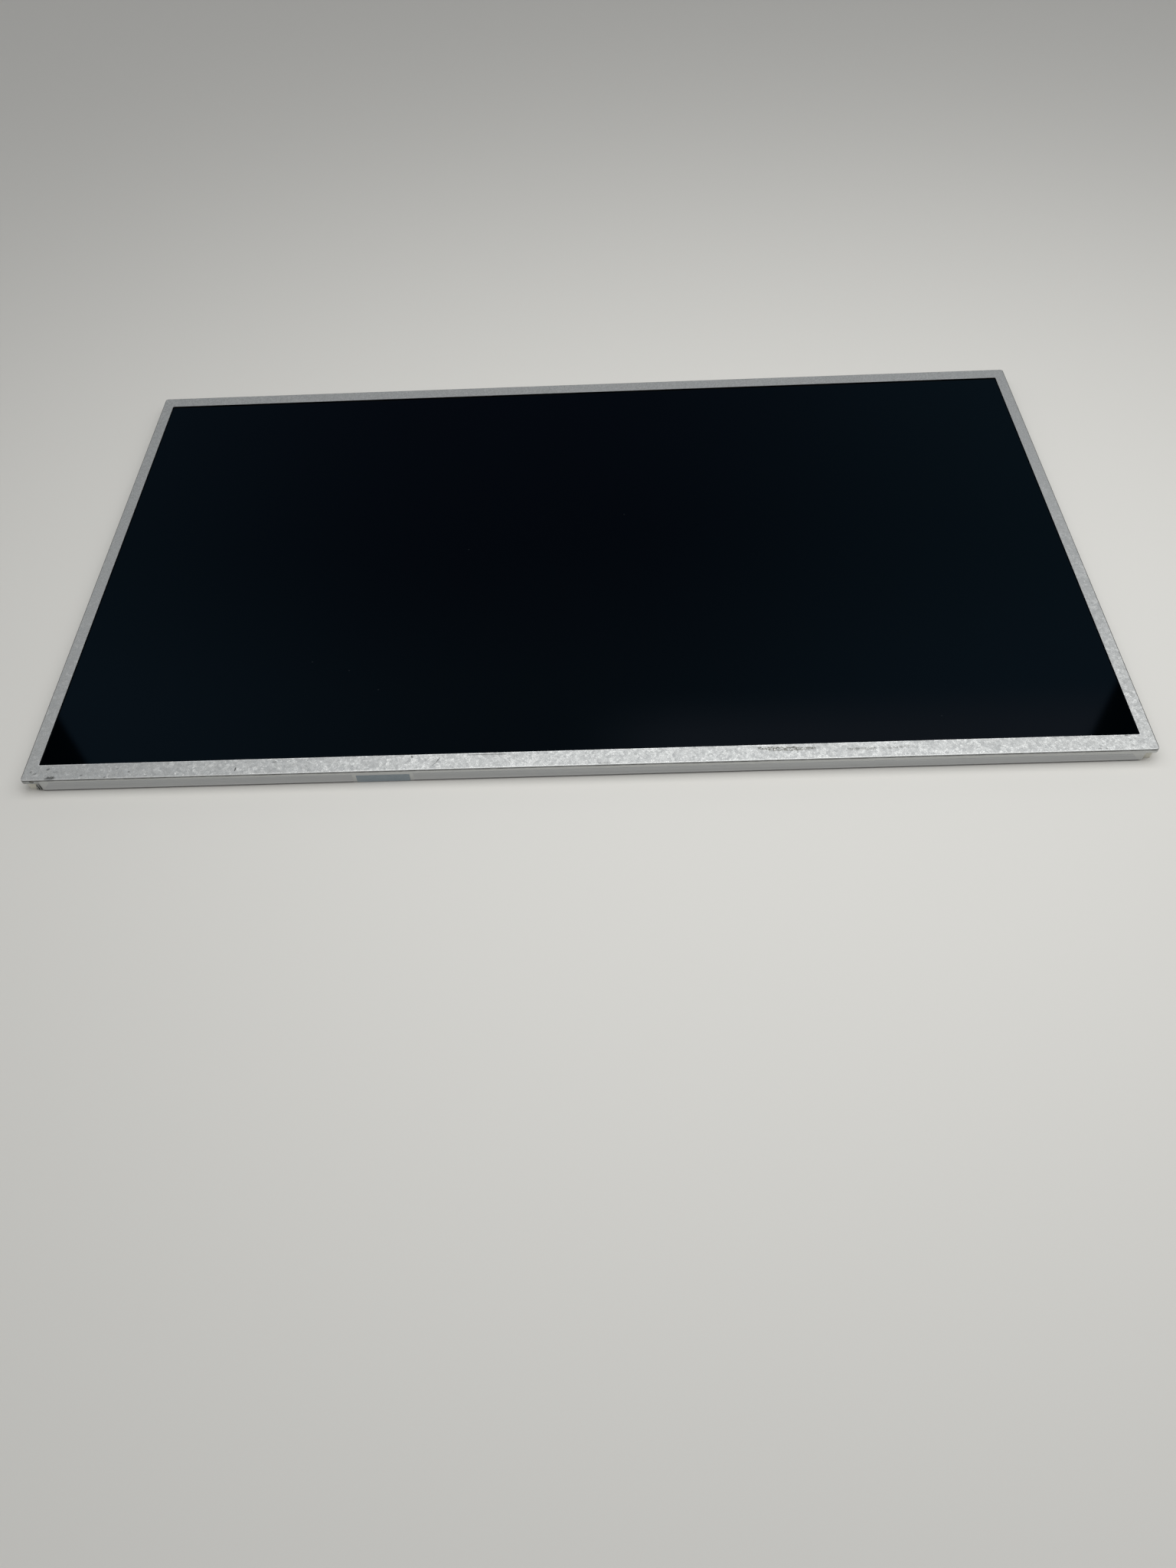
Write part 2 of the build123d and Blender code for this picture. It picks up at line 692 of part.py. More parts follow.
# Board cover film: stuck to the rear cover, over the board, under the near wall and up its outside
slope_foot = board_far + film_slope_gap
slope_top = slope_foot + film_slope_run
film_far = slope_top + film_stick
flap_top = wall_lift + max(flap_left_height, flap_right_height)
with BuildPart() as cover_film:
    with BuildSketch(Plane.YZ.offset(film_left)):
        with BuildLine():
            Polyline(
                (film_far, cover_rear),
                (slope_top, cover_rear),
                (slope_foot, wall_lift),
                (-half_height, wall_lift),
                (-half_height, flap_top),
            )
            offset(amount=film_thickness, side=Side.LEFT)
        make_face()
    extrude(amount=film_right - film_left)
    # The flap's top edge falls to the right, and its ends slant
    with BuildSketch(Plane.XZ.offset(half_height)):
        with BuildLine():
            Polyline(
                (film_left - cut_over, wall_lift),
                (film_left, wall_lift),
                (film_left + flap_slant, wall_lift + flap_left_height),
                (film_right - flap_slant, wall_lift + flap_right_height),
                (film_right, wall_lift),
                (film_right + cut_over, wall_lift),
                (film_right + cut_over, flap_top + cut_over),
                (film_left - cut_over, flap_top + cut_over),
                close=True,
            )
        make_face()
    extrude(amount=cut_over, mode=Mode.SUBTRACT)
    # Gap in the flap for the earthing tape
    with BuildSketch(Plane.XZ.offset(half_height)):
        with Locations((tape_place, 0)):
            Rectangle(film_gap_width, flap_top + cut_over, align=(Align.CENTER, Align.MIN))
    extrude(amount=cut_over, mode=Mode.SUBTRACT)
    # Cut-out that leaves the video connector open
    with BuildSketch():
        with Locations((plug_x, plug_near - contact_tail - film_cut_margin)):
            Rectangle(plug_length + 2 * film_cut_margin,
                      film_far - plug_near + contact_tail + 2 * film_cut_margin,
                      align=(Align.CENTER, Align.MIN))
    extrude(amount=cover_rear, mode=Mode.SUBTRACT)
keep(cover_film, "cover_film")

# Earthing tape: from under the film, up the outside of the near wall
tape_level = wall_lift - film_thickness
with BuildPart() as earthing_tape:
    with BuildSketch(Plane.YZ.offset(tape_place - tape_width / 2)):
        with BuildLine():
            Polyline(
                (tape_return - half_height, tape_level),
                (-half_height, tape_level),
                (-half_height, wall_lift + tape_height),
            )
            offset(amount=tape_thickness, side=Side.LEFT)
        make_face()
    extrude(amount=tape_width)
keep(earthing_tape, "earthing_tape")
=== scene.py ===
import bpy
import numpy as np
from mathutils import Matrix, Vector


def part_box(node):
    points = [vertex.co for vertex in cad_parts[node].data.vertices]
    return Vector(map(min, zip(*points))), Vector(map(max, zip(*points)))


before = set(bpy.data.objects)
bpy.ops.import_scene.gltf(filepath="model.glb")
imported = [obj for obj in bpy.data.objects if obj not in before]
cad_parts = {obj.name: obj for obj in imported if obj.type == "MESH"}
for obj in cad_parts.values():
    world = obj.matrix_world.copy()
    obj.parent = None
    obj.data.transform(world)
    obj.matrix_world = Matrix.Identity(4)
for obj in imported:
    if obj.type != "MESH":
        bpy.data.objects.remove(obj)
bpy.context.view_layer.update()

# Laptop screen panel lying on its back, screen up, on a pale table.
# Objects are in metres, and a value ending in _mm is in millimetres.
mm = 0.001

# Camera, solved from the four corners of the panel, for a frame 1536 pixels wide and 2048 high
frame_height_px = 2048
focal_px = 1460.387
sensor_mm = 36.0
camera_place_mm = (9.337, -324.758, 279.918)
camera_right = (0.99935901, -0.00781525, -0.03493547)
camera_up = (0.0275611, 0.7907543, 0.61151289)

# Sheet-steel border between the panel's outside and the edge of the opening
side_border_mm = 4.4
near_border_mm = 6.2
far_border_mm = 5.9

# Table and light
table_half_mm = 4000.0
table_colour = (0.640, 0.632, 0.600, 1.0)
softbox_place_mm = (110.0, -33.0, 378.0)
softbox_size_mm = (640.0, 400.0)
softbox_watts = 1.50


class Nodes:
    """Short calls on a shader node tree: an input given as a socket is linked, any other is set."""

    def __init__(self, tree):
        self.tree = tree

    def add(self, kind, inputs=(), **settings):
        made = self.tree.nodes.new(kind)
        for name, value in settings.items():
            setattr(made, name, value)
        for key, value in dict(inputs).items():
            if isinstance(value, bpy.types.NodeSocket):
                self.tree.links.new(value, made.inputs[key])
            else:
                made.inputs[key].default_value = value
        return made

    def place(self, group, **inputs):
        """Place a shared effect and give it its own values."""
        return self.add("ShaderNodeGroup", inputs, node_tree=group).outputs

    def math(self, operation, *values):
        return self.add("ShaderNodeMath", enumerate(values), operation=operation).outputs[0]

    def vector(self, operation, *values):
        made = self.add("ShaderNodeVectorMath", enumerate(values), operation=operation)
        return made.outputs["Value" if operation in ("LENGTH", "DISTANCE", "DOT_PRODUCT") else "Vector"]

    def scaled(self, vector, factor):
        inputs = {0: vector, "Scale": factor}
        return self.add("ShaderNodeVectorMath", inputs, operation="SCALE").outputs["Vector"]

    def axes(self, vector):
        return self.add("ShaderNodeSeparateXYZ", {0: vector}).outputs

    def ramp(self, value, low, high, start=0.0, end=1.0):
        """Smooth step from start, at low, to end, at high."""
        inputs = {"Value": value, "From Min": low, "From Max": high, "To Min": start, "To Max": end}
        return self.add("ShaderNodeMapRange", inputs, interpolation_type="SMOOTHSTEP").outputs[0]

    def mix(self, share, first, second):
        inputs = {0: share, 6: first, 7: second}
        return self.add("ShaderNodeMix", inputs, data_type="RGBA").outputs[2]

    def noise(self, point, size, detail=2.0, roughness=0.5, distortion=0.0):
        """Noise whose features are about one size across."""
        inputs = {"Vector": point, "Scale": 1.0 / size, "Detail": detail, "Roughness": roughness,
                  "Distortion": distortion}
        return self.add("ShaderNodeTexNoise", inputs).outputs[0]

    def bump(self, height, depth, strength=1.0):
        inputs = {"Height": height, "Distance": depth, "Strength": strength}
        return self.add("ShaderNodeBump", inputs).outputs["Normal"]

    def band(self, value, low, high, soft):
        """One between low and high, falling to nothing over a soft edge on both sides."""
        rise = self.ramp(value, low - soft, low)
        fall = self.ramp(value, high, high + soft, 1.0, 0.0)
        return self.math("MULTIPLY", rise, fall)


class Finish(Nodes):
    """A material with one Principled shader and the object's own coordinates."""

    def __init__(self, name):
        self.material = bpy.data.materials.new(name)
        self.material.use_nodes = True
        super().__init__(self.material.node_tree)
        self.shader = self.tree.nodes["Principled BSDF"]
        self.point = self.add("ShaderNodeTexCoord").outputs["Object"]

    def surface(self, inputs):
        for key, value in inputs.items():
            if isinstance(value, bpy.types.NodeSocket):
                self.tree.links.new(value, self.shader.inputs[key])
            else:
                self.shader.inputs[key].default_value = value
        return self.material


def new_group(name, inputs, outputs):
    """Start a shared effect: a node group with the sockets {name: (kind, value)} in and {name: kind} out."""
    tree = bpy.data.node_groups.new(name, "ShaderNodeTree")
    for label, (kind, value) in inputs.items():
        socket = tree.interface.new_socket(label, in_out="INPUT", socket_type="NodeSocket" + kind)
        socket.default_value = value
    for label, kind in outputs.items():
        tree.interface.new_socket(label, in_out="OUTPUT", socket_type="NodeSocket" + kind)
    nodes = Nodes(tree)
    return nodes, nodes.add("NodeGroupInput").outputs


def join(nodes, **results):
    """Link a group's results to its outputs."""
    nodes.add("NodeGroupOutput", results)
    return nodes.tree


def make_zinc_spangle():
    """Zinc crystals: cells with a tone and a tilt of their own, filled with feathers that run their way."""
    inputs = {"Point": ("Vector", (0, 0, 0)), "Cell": ("Float", 0.002), "Tilt": ("Float", 0.15)}
    g, given = new_group("zinc_spangle", inputs, {"Shade": "Float", "Normal": "Vector"})
    size = g.math("DIVIDE", 1.0, given["Cell"])
    scaled = g.scaled(given["Point"], size)
    drift = g.add("ShaderNodeTexNoise", {"Vector": scaled, "Scale": 1.1, "Detail": 2.0}).outputs[1]
    warped = g.vector("ADD", scaled, g.scaled(g.vector("SUBTRACT", drift, (0.5, 0.5, 0.5)), 1.1))
    crystal = g.add("ShaderNodeTexVoronoi", {"Vector": warped, "Scale": 1.0}).outputs
    blended = {"Vector": warped, "Scale": 1.0, "Smoothness": 0.5}
    soft = g.add("ShaderNodeTexVoronoi", blended, feature="SMOOTH_F1").outputs["Color"]
    tilt = g.vector("SUBTRACT", soft, (0.5, 0.5, 0.5))
    turn = g.math("MULTIPLY", g.axes(crystal["Color"])[0], 2 * np.pi)
    away = g.vector("SUBTRACT", warped, crystal["Position"])
    away = g.add("ShaderNodeVectorRotate", {"Vector": away, "Angle": turn}, rotation_type="Z_AXIS").outputs[0]
    feather = g.vector("ADD", g.vector("MULTIPLY", away, (1.6, 3.6, 1.6)), g.scaled(crystal["Color"], 40.0))
    feather = g.add("ShaderNodeTexNoise", {"Vector": feather, "Scale": 1.0, "Detail": 2.0}).outputs[0]
    feather = g.ramp(feather, 0.26, 0.74)
    tone = g.axes(soft)[1]
    shade = g.math("ADD", g.math("MULTIPLY", tone, 0.25), g.math("MULTIPLY", feather, 0.75))
    lean = g.vector("SUBTRACT", crystal["Color"], (0.5, 0.5, 0.5))
    ripple = g.scaled(lean, g.math("SUBTRACT", feather, 0.5))
    tilt = g.scaled(g.vector("ADD", tilt, g.scaled(ripple, 1.05)), given["Tilt"])
    facing = g.add("ShaderNodeNewGeometry").outputs["Normal"]
    return join(g, Shade=shade, Normal=g.vector("NORMALIZE", g.vector("ADD", facing, tilt)))


def make_edge_distance():
    """Distance of a point to the nearest side of an upright rectangle in plan, negative inside it."""
    inputs = {"Point": ("Vector", (0, 0, 0)), "Centre": ("Vector", (0, 0, 0)), "Half": ("Vector", (1, 1, 1))}
    g, given = new_group("edge_distance", inputs, {"Distance": "Float"})
    away = g.vector("ABSOLUTE", g.vector("SUBTRACT", given["Point"], given["Centre"]))
    past = g.axes(g.vector("SUBTRACT", away, given["Half"]))
    return join(g, Distance=g.math("MAXIMUM", past[0], past[1]))


def make_edge_highlight():
    """A painted highlight along an edge: full on the edge, gone at one width from it, broken up by noise."""
    inputs = {"Point": ("Vector", (0, 0, 0)), "Distance": ("Float", 0.0), "Width": ("Float", 0.0004),
              "Break": ("Float", 0.004)}
    g, given = new_group("edge_highlight", inputs, {"Mask": "Float"})
    size = g.math("DIVIDE", 1.0, given["Break"])
    patchy = g.add("ShaderNodeTexNoise", {"Vector": given["Point"], "Scale": size, "Detail": 3.0}).outputs[0]
    near = g.ramp(g.math("ABSOLUTE", given["Distance"]), given["Width"], 0.0)
    return join(g, Mask=g.math("MULTIPLY", near, g.ramp(patchy, 0.3, 0.62)))


def make_scuff():
    """A mark along a short line: full on the line, gone at its reach, with the line shaken by noise."""
    inputs = {"Point": ("Vector", (0, 0, 0)), "From": ("Vector", (0, 0, 0)), "To": ("Vector", (0, 0, 0)),
              "Reach": ("Float", 0.0003)}
    g, given = new_group("scuff", inputs, {"Mask": "Float"})
    size = g.math("DIVIDE", 1.2, given["Reach"])
    shake = g.add("ShaderNodeTexNoise", {"Vector": given["Point"], "Scale": size, "Detail": 3.0}).outputs[1]
    ragged = g.math("MULTIPLY", given["Reach"], 1.1)
    shake = g.scaled(g.vector("SUBTRACT", shake, (0.5, 0.5, 0.5)), ragged)
    along = g.vector("SUBTRACT", given["To"], given["From"])
    away = g.vector("SUBTRACT", g.vector("ADD", given["Point"], shake), given["From"])
    share = g.math("DIVIDE", g.vector("DOT_PRODUCT", away, along), g.vector("DOT_PRODUCT", along, along))
    share = g.math("MINIMUM", g.math("MAXIMUM", share, 0.0), 1.0)
    gap = g.vector("LENGTH", g.vector("SUBTRACT", away, g.scaled(along, share)))
    return join(g, Mask=g.ramp(gap, given["Reach"], 0.0))


def make_streaks():
    """Long fine streaks: noise stretched along one axis, about half dark and half light."""
    inputs = {"Point": ("Vector", (0, 0, 0)), "Fineness": ("Vector", (20, 2000, 2000)),
              "Contrast": ("Float", 0.5)}
    g, given = new_group("streaks", inputs, {"Shade": "Float"})
    stretched = g.vector("MULTIPLY", given["Point"], given["Fineness"])
    shade = g.add("ShaderNodeTexNoise", {"Vector": stretched, "Scale": 1.0, "Detail": 3.0}).outputs[0]
    shade = g.math("MULTIPLY_ADD", g.math("SUBTRACT", shade, 0.5), given["Contrast"], 0.5)
    return join(g, Shade=shade)


def make_dust():
    """Sparse specks: the middle of some of the cells of a cell pattern."""
    inputs = {"Point": ("Vector", (0, 0, 0)), "Spacing": ("Float", 0.004), "Size": ("Float", 0.00015),
              "Share": ("Float", 0.3)}
    g, given = new_group("dust", inputs, {"Mask": "Float"})
    size = g.math("DIVIDE", 1.0, given["Spacing"])
    cell = g.add("ShaderNodeTexVoronoi", {"Vector": given["Point"], "Scale": size}).outputs
    gap = g.math("MULTIPLY", cell["Distance"], given["Spacing"])
    speck = g.ramp(gap, given["Size"], g.math("MULTIPLY", given["Size"], 0.4))
    chosen = g.math("LESS_THAN", g.axes(cell["Color"])[0], given["Share"])
    return join(g, Mask=g.math("MULTIPLY", speck, chosen))


zinc_spangle = make_zinc_spangle()
edge_distance = make_edge_distance()
edge_highlight = make_edge_highlight()
scuff = make_scuff()
streaks = make_streaks()
dust = make_dust()

# Opening in the bezel, in plan
bezel_low, bezel_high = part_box("front_bezel")
opening_low = Vector((bezel_low.x + side_border_mm * mm, bezel_low.y + near_border_mm * mm))
opening_high = Vector((bezel_high.x - side_border_mm * mm, bezel_high.y - far_border_mm * mm))
opening_centre = ((opening_low + opening_high) / 2).to_3d()
opening_half = ((opening_high - opening_low) / 2).to_3d()
bezel_half = Vector((bezel_high.x, bezel_high.y, 0))
front_level_mm = bezel_high.z / mm

# Dark marks on the bezel's front, the first two of them painted shade in a dent near the left corner: two
# ends in plan, reach and strength, in millimetres
dark_marks_and_dent_shade_mm = [
    ((-171.5, -104.2), (-168.9, -103.9), 0.80, 0.6),
    ((-170.7, -103.8), (-169.5, -103.6), 0.85, 0.85),
    ((-110.95, -102.95), (-110.75, -101.9), 0.34, 1.0),
    ((-47.98, -103.19), (-46.63, -101.84), 0.20, 0.75),
    ((-46.63, -101.84), (-45.69, -100.03), 0.22, 0.85),
    ((-54.7, -99.2), (-54.6, -99.5), 0.45, 1.0),
    ((-171.9, -100.5), (-171.5, -100.2), 0.55, 0.7),
    ((-177.1, -101.4), (-177.0, -101.3), 0.55, 0.5),
    ((-175.7, -102.2), (-175.2, -102.0), 0.50, 0.45),
    ((-169.6, -101.7), (-168.4, -101.5), 0.45, 0.3),
    ((-160.4, -103.3), (-160.1, -103.2), 0.42, 0.65),
    ((-152.6, -104.3), (-152.3, -104.2), 0.40, 0.7),
    ((-149.3, -100.9), (-149.0, -100.7), 0.42, 0.5),
    ((-145.2, -102.2), (-145.0, -102.2), 0.42, 0.8),
    ((-98.9, -99.9), (-98.2, -99.8), 0.40, 0.7),
    ((-36.3, -99.2), (-24.8, -99.3), 0.34, 0.6),
    ((5.0, -104.1), (8.4, -104.2), 0.40, 0.5),
    ((161.0, -104.0), (161.5, -103.9), 0.45, 0.6),
    ((163.3, -104.0), (163.5, -103.9), 0.40, 0.5),
    ((170.6, -98.8), (171.1, -98.9), 0.45, 0.8),
]
stains_mm = [
    ((55.6, -99.8), (58.0, -100.2), 0.75, 0.85),
    ((58.8, -100.2), (67.8, -100.5), 1.3, 0.9),
    ((68.6, -100.6), (72.8, -100.3), 0.8, 0.8),
    ((83.8, -101.2), (91.8, -101.2), 0.8, 0.6),
    ((94.4, -101.3), (98.8, -101.1), 0.7, 0.42),
    ((99.2, -101.0), (102.4, -100.5), 0.6, 0.42),
]

# How far the buckled end of the near wall reaches in from the left side
torn_reach_mm = 6.1

# Specks of dust on the screen, in plan
specks_mm = [(-79.7, -60.2), (-92.95, -55.7), (115.4, -88.2), (16.15, 17.6), (-42.3, 0.2), (-68.7, -69.5)]


def on_front(place_mm):
    return (place_mm[0] * mm, place_mm[1] * mm, front_level_mm * mm)


def on_screen(place_mm):
    return (place_mm[0] * mm, place_mm[1] * mm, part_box("front_polarizer")[1].z)


def scuffed(s, start, end, reach_mm):
    return s.place(scuff, Point=s.point, From=start, To=end, Reach=reach_mm * mm)["Mask"]


def galvanised_steel():
    """Galvanised sheet: feathered spangle on the front, plain drawn walls, a painted highlight on the
    opening's edge, painted shade on the opening's cut face, the bend, a dent and the buckled wall end,
    soiling on the bend, marks of use.
    """
    s = Finish("galvanised_steel")
    x, y, z = s.axes(s.point)[:3]
    zinc = s.place(zinc_spangle, Point=s.point, Cell=0.90 * mm, Tilt=0.14)
    plain_normal = s.add("ShaderNodeNewGeometry").outputs["Normal"]
    upright = s.axes(plain_normal)[2]
    front = s.ramp(upright, 0.90, 0.995)
    cloud = s.noise(s.point, 22 * mm, 3.0)
    drawn = s.place(streaks, Point=s.point, Fineness=(25, 25, 900), Contrast=0.6)["Shade"]
    shade = s.math("MULTIPLY_ADD", s.math("SUBTRACT", cloud, 0.5), 0.25, zinc["Shade"])
    colour = s.mix(s.ramp(shade, 0.12, 0.88), (0.475, 0.484, 0.477, 1), (0.683, 0.692, 0.678, 1))
    wall = s.mix(drawn, (0.50, 0.512, 0.51, 1), (0.58, 0.59, 0.585, 1))
    colour = s.mix(front, wall, colour)
    # The opening: painted shade on its punched face, and a painted highlight along its upper edge at the
    # driver side
    inner = s.place(edge_distance, Point=s.point, Centre=opening_centre, Half=opening_half)["Distance"]
    edge = s.place(edge_highlight, Point=s.point, Distance=inner, Width=0.34 * mm, Break=7 * mm)["Mask"]
    edge = s.math("MULTIPLY", edge, s.ramp(y, opening_low.y + 2 * mm, opening_low.y + 0.4 * mm))
    colour = s.mix(s.math("MULTIPLY", edge, front), colour, (0.86, 0.865, 0.86, 1))
    punched = s.math("MULTIPLY", s.ramp(upright, 0.6, 0.3), s.ramp(inner, 0.5 * mm, 0.4 * mm))
    colour = s.mix(punched, colour, (0.012, 0.012, 0.012, 1))
    # Soiling and painted shade on the bend: a dark line in its lower half all round, and painted shade on the
    # part that bends down at the sides and the far edge
    outer = s.place(edge_distance, Point=s.point, Half=bezel_half)["Distance"]
    lip = s.band(z, (front_level_mm - 0.54) * mm, (front_level_mm - 0.25) * mm, 0.07 * mm)
    bend_grime_and_shade = s.math("MULTIPLY", lip, s.ramp(s.noise(s.point, 2.2 * mm, 4.0), 0.35, 0.62, 0.6, 0.95))
    bend_grime_and_shade = s.math("MULTIPLY", bend_grime_and_shade, s.ramp(outer, -0.45 * mm, -0.15 * mm))
    colour = s.mix(bend_grime_and_shade, colour, (0.09, 0.09, 0.086, 1))
    turned = s.ramp(outer, -0.46 * mm, -0.30 * mm, 0.0, 0.85)
    turned = s.math("MULTIPLY", turned, s.ramp(y, bezel_low.y + 0.6 * mm, bezel_low.y + 1.4 * mm))
    turned = s.math("MULTIPLY", turned, s.ramp(z, (front_level_mm - 1.0) * mm, (front_level_mm - 0.6) * mm))
    colour = s.mix(turned, colour, (0.07, 0.07, 0.066, 1))
    # Painted shade in the dent, scratches and other dark marks, and stains at their places
    for start, end, reach, strength in dark_marks_and_dent_shade_mm:
        mark = scuffed(s, on_front(start), on_front(end), reach)
        colour = s.mix(s.math("MULTIPLY", mark, strength), colour, (0.05, 0.052, 0.05, 1))
    blot = s.ramp(s.noise(s.point, 0.6 * mm, 4.0, 0.6, 0.8), 0.39, 0.57)
    for start, end, reach, strength in stains_mm:
        mark = scuffed(s, on_front(start), on_front(end), reach)
        mark = s.math("MULTIPLY", s.ramp(mark, 0.08, 0.5), s.math("MULTIPLY", blot, strength))
        colour = s.mix(mark, colour, (0.13, 0.13, 0.108, 1))
    # Painted shade in the folds of the buckled wall end, darker deeper in
    torn = s.ramp(x, bezel_low.x + torn_reach_mm * mm, bezel_low.x + (torn_reach_mm - 0.5) * mm)
    torn = s.math("MULTIPLY", torn, s.ramp(z, (front_level_mm - 0.4) * mm, (front_level_mm - 0.8) * mm))
    torn = s.math("MULTIPLY", torn, s.ramp(y, bezel_low.y + 1.6 * mm, bezel_low.y + 1.2 * mm))
    valley = s.ramp(y, bezel_low.y + 0.06 * mm, bezel_low.y + 0.34 * mm, 0.30, 1.0)
    fold_shade = s.math("MULTIPLY", valley, s.ramp(s.noise(s.point, 0.7 * mm, 3.0), 0.36, 0.56, 0.55, 1.0))
    colour = s.mix(s.math("MULTIPLY", torn, fold_shade), colour, (0.03, 0.031, 0.03, 1))
    rough = s.math("MULTIPLY_ADD", bend_grime_and_shade, 0.2, s.ramp(shade, 0.2, 0.8, 0.51, 0.41))
    normals = {0: front, 4: plain_normal, 5: zinc["Normal"]}
    tilted = s.add("ShaderNodeMix", normals, data_type="VECTOR").outputs[1]
    return s.surface({"Base Color": colour, "Roughness": rough, "Metallic": 0.85, "Normal": tilted})


def polarizer_film():
    """Front polarizer over the dark cell: near black, smooth, with a faint haze and a few specks of dust."""
    s = Finish("polarizer_film")
    haze = s.noise(s.point, 60 * mm, 3.0)
    colour = s.mix(haze, (0.00008, 0.0004, 0.0006, 1), (0.00016, 0.0006, 0.0009, 1))
    fine = s.place(dust, Point=s.point, Spacing=26 * mm, Size=0.12 * mm, Share=0.3)["Mask"]
    colour = s.mix(s.math("MULTIPLY", fine, 0.02), colour, (0.30, 0.33, 0.36, 1))
    for place in specks_mm:
        end = (place[0] + 0.1, place[1])
        speck = scuffed(s, on_screen(place), on_screen(end), 0.3)
        colour = s.mix(s.math("MULTIPLY", speck, 0.05), colour, (0.30, 0.33, 0.36, 1))
    rough = s.ramp(haze, 0.3, 0.7, 0.032, 0.040)
    grain = s.noise(s.point, 0.12 * mm, 1.0)
    return s.surface({"Base Color": colour, "Roughness": rough, "Normal": s.bump(grain, 0.0001 * mm, 0.2)})


def cover_film():
    """Grey satin film with drawn streaks along the panel, a painted highlight along the fold and painted
    shade along its foot.
    """
    s = Finish("cover_film")
    z = s.axes(s.point)[2]
    fine = s.place(streaks, Point=s.point, Fineness=(14, 900, 3600), Contrast=1.2)["Shade"]
    broad = s.place(streaks, Point=s.point, Fineness=(6, 260, 1100), Contrast=1.0)["Shade"]
    shade = s.math("ADD", s.math("MULTIPLY", fine, 0.5), s.math("MULTIPLY", broad, 0.5))
    colour = s.mix(s.ramp(shade, 0.2, 0.8), (0.40, 0.412, 0.415, 1), (0.50, 0.512, 0.515, 1))
    # Paler towards the bottom of the wall, then a painted highlight along the fold and painted shade along
    # the foot below it
    colour = s.mix(s.ramp(z, 2.4 * mm, 0.7 * mm, 0.0, 0.45), colour, (0.54, 0.55, 0.55, 1))
    crease_highlight = s.band(z, 0.88 * mm, 1.0 * mm, 0.09 * mm)
    colour = s.mix(s.math("MULTIPLY", crease_highlight, 0.6), colour, (0.66, 0.665, 0.66, 1))
    colour = s.mix(s.ramp(z, 0.80 * mm, 0.58 * mm, 0.0, 0.8), colour, (0.08, 0.08, 0.08, 1))
    specks = s.place(dust, Point=s.point, Spacing=7 * mm, Size=0.14 * mm, Share=0.3)["Mask"]
    colour = s.mix(s.math("MULTIPLY", specks, 0.4), colour, (0.08, 0.08, 0.08, 1))
    rough = s.ramp(shade, 0.2, 0.8, 0.44, 0.32)
    wrinkle = s.noise(s.vector("MULTIPLY", s.point, (0.25, 1, 1)), 6 * mm, 3.0)
    return s.surface({"Base Color": colour, "Roughness": rough, "Normal": s.bump(wrinkle, 0.15 * mm, 0.3)})


def earthing_tape():
    """Dark blue-grey conductive cloth tape with a fine plain weave."""
    s = Finish("earthing_tape")
    x, y, z = s.axes(s.point)[:3]
    warp = s.math("SINE", s.math("MULTIPLY", x, 2 * np.pi / (0.22 * mm)))
    weft = s.math("SINE", s.math("MULTIPLY", s.math("SUBTRACT", z, y), 2 * np.pi / (0.22 * mm)))
    weave = s.math("MULTIPLY", warp, weft)
    cloud = s.noise(s.point, 5 * mm, 3.0)
    colour = s.mix(s.ramp(cloud, 0.3, 0.7), (0.245, 0.295, 0.330, 1), (0.290, 0.340, 0.370, 1))
    colour = s.mix(s.ramp(weave, -1.0, 1.0, 0.0, 0.25), colour, (0.20, 0.24, 0.27, 1))
    return s.surface({"Base Color": colour, "Roughness": s.ramp(cloud, 0.2, 0.8, 0.5, 0.62),
                      "Normal": s.bump(weave, 0.02 * mm, 0.5)})


def cream_plastic():
    """Moulded cream plastic, slightly rough, with a little grime."""
    s = Finish("cream_plastic")
    cloud = s.noise(s.point, 14 * mm, 3.0)
    colour = s.mix(s.ramp(cloud, 0.3, 0.7), (0.70, 0.68, 0.59, 1), (0.78, 0.765, 0.68, 1))
    specks = s.place(dust, Point=s.point, Spacing=5 * mm, Size=0.18 * mm, Share=0.25)["Mask"]
    colour = s.mix(s.math("MULTIPLY", specks, 0.45), colour, (0.25, 0.23, 0.18, 1))
    grain = s.noise(s.point, 0.25 * mm, 2.0)
    return s.surface({"Base Color": colour, "Roughness": s.ramp(cloud, 0.2, 0.8, 0.50, 0.42),
                      "Normal": s.bump(grain, 0.02 * mm, 0.4)})


def rolled_metal(name, dark, pale, rough, fineness, cloud_mm):
    """Bare rolled sheet: streaks along the rolling direction, cloudy tone, fine scratches."""
    s = Finish(name)
    drawn = s.place(streaks, Point=s.point, Fineness=fineness, Contrast=1.3)["Shade"]
    cloud = s.noise(s.point, cloud_mm * mm, 3.0)
    shade = s.math("ADD", s.math("MULTIPLY", drawn, 0.6), s.math("MULTIPLY", cloud, 0.4))
    colour = s.mix(s.ramp(shade, 0.25, 0.75), dark, pale)
    specks = s.place(dust, Point=s.point, Spacing=9 * mm, Size=0.2 * mm, Share=0.3)["Mask"]
    colour = s.mix(s.math("MULTIPLY", specks, 0.5), colour, (0.12, 0.12, 0.12, 1))
    gloss = s.ramp(shade, 0.2, 0.8, rough + 0.07, rough - 0.05)
    return s.surface({"Base Color": colour, "Roughness": gloss, "Metallic": 1.0,
                      "Normal": s.bump(drawn, 0.01 * mm, 0.3)})


def aluminium_sheet():
    dark, pale = (0.62, 0.63, 0.64, 1), (0.80, 0.81, 0.82, 1)
    return rolled_metal("aluminium_sheet", dark, pale, 0.36, (9, 1500, 1500), 40)


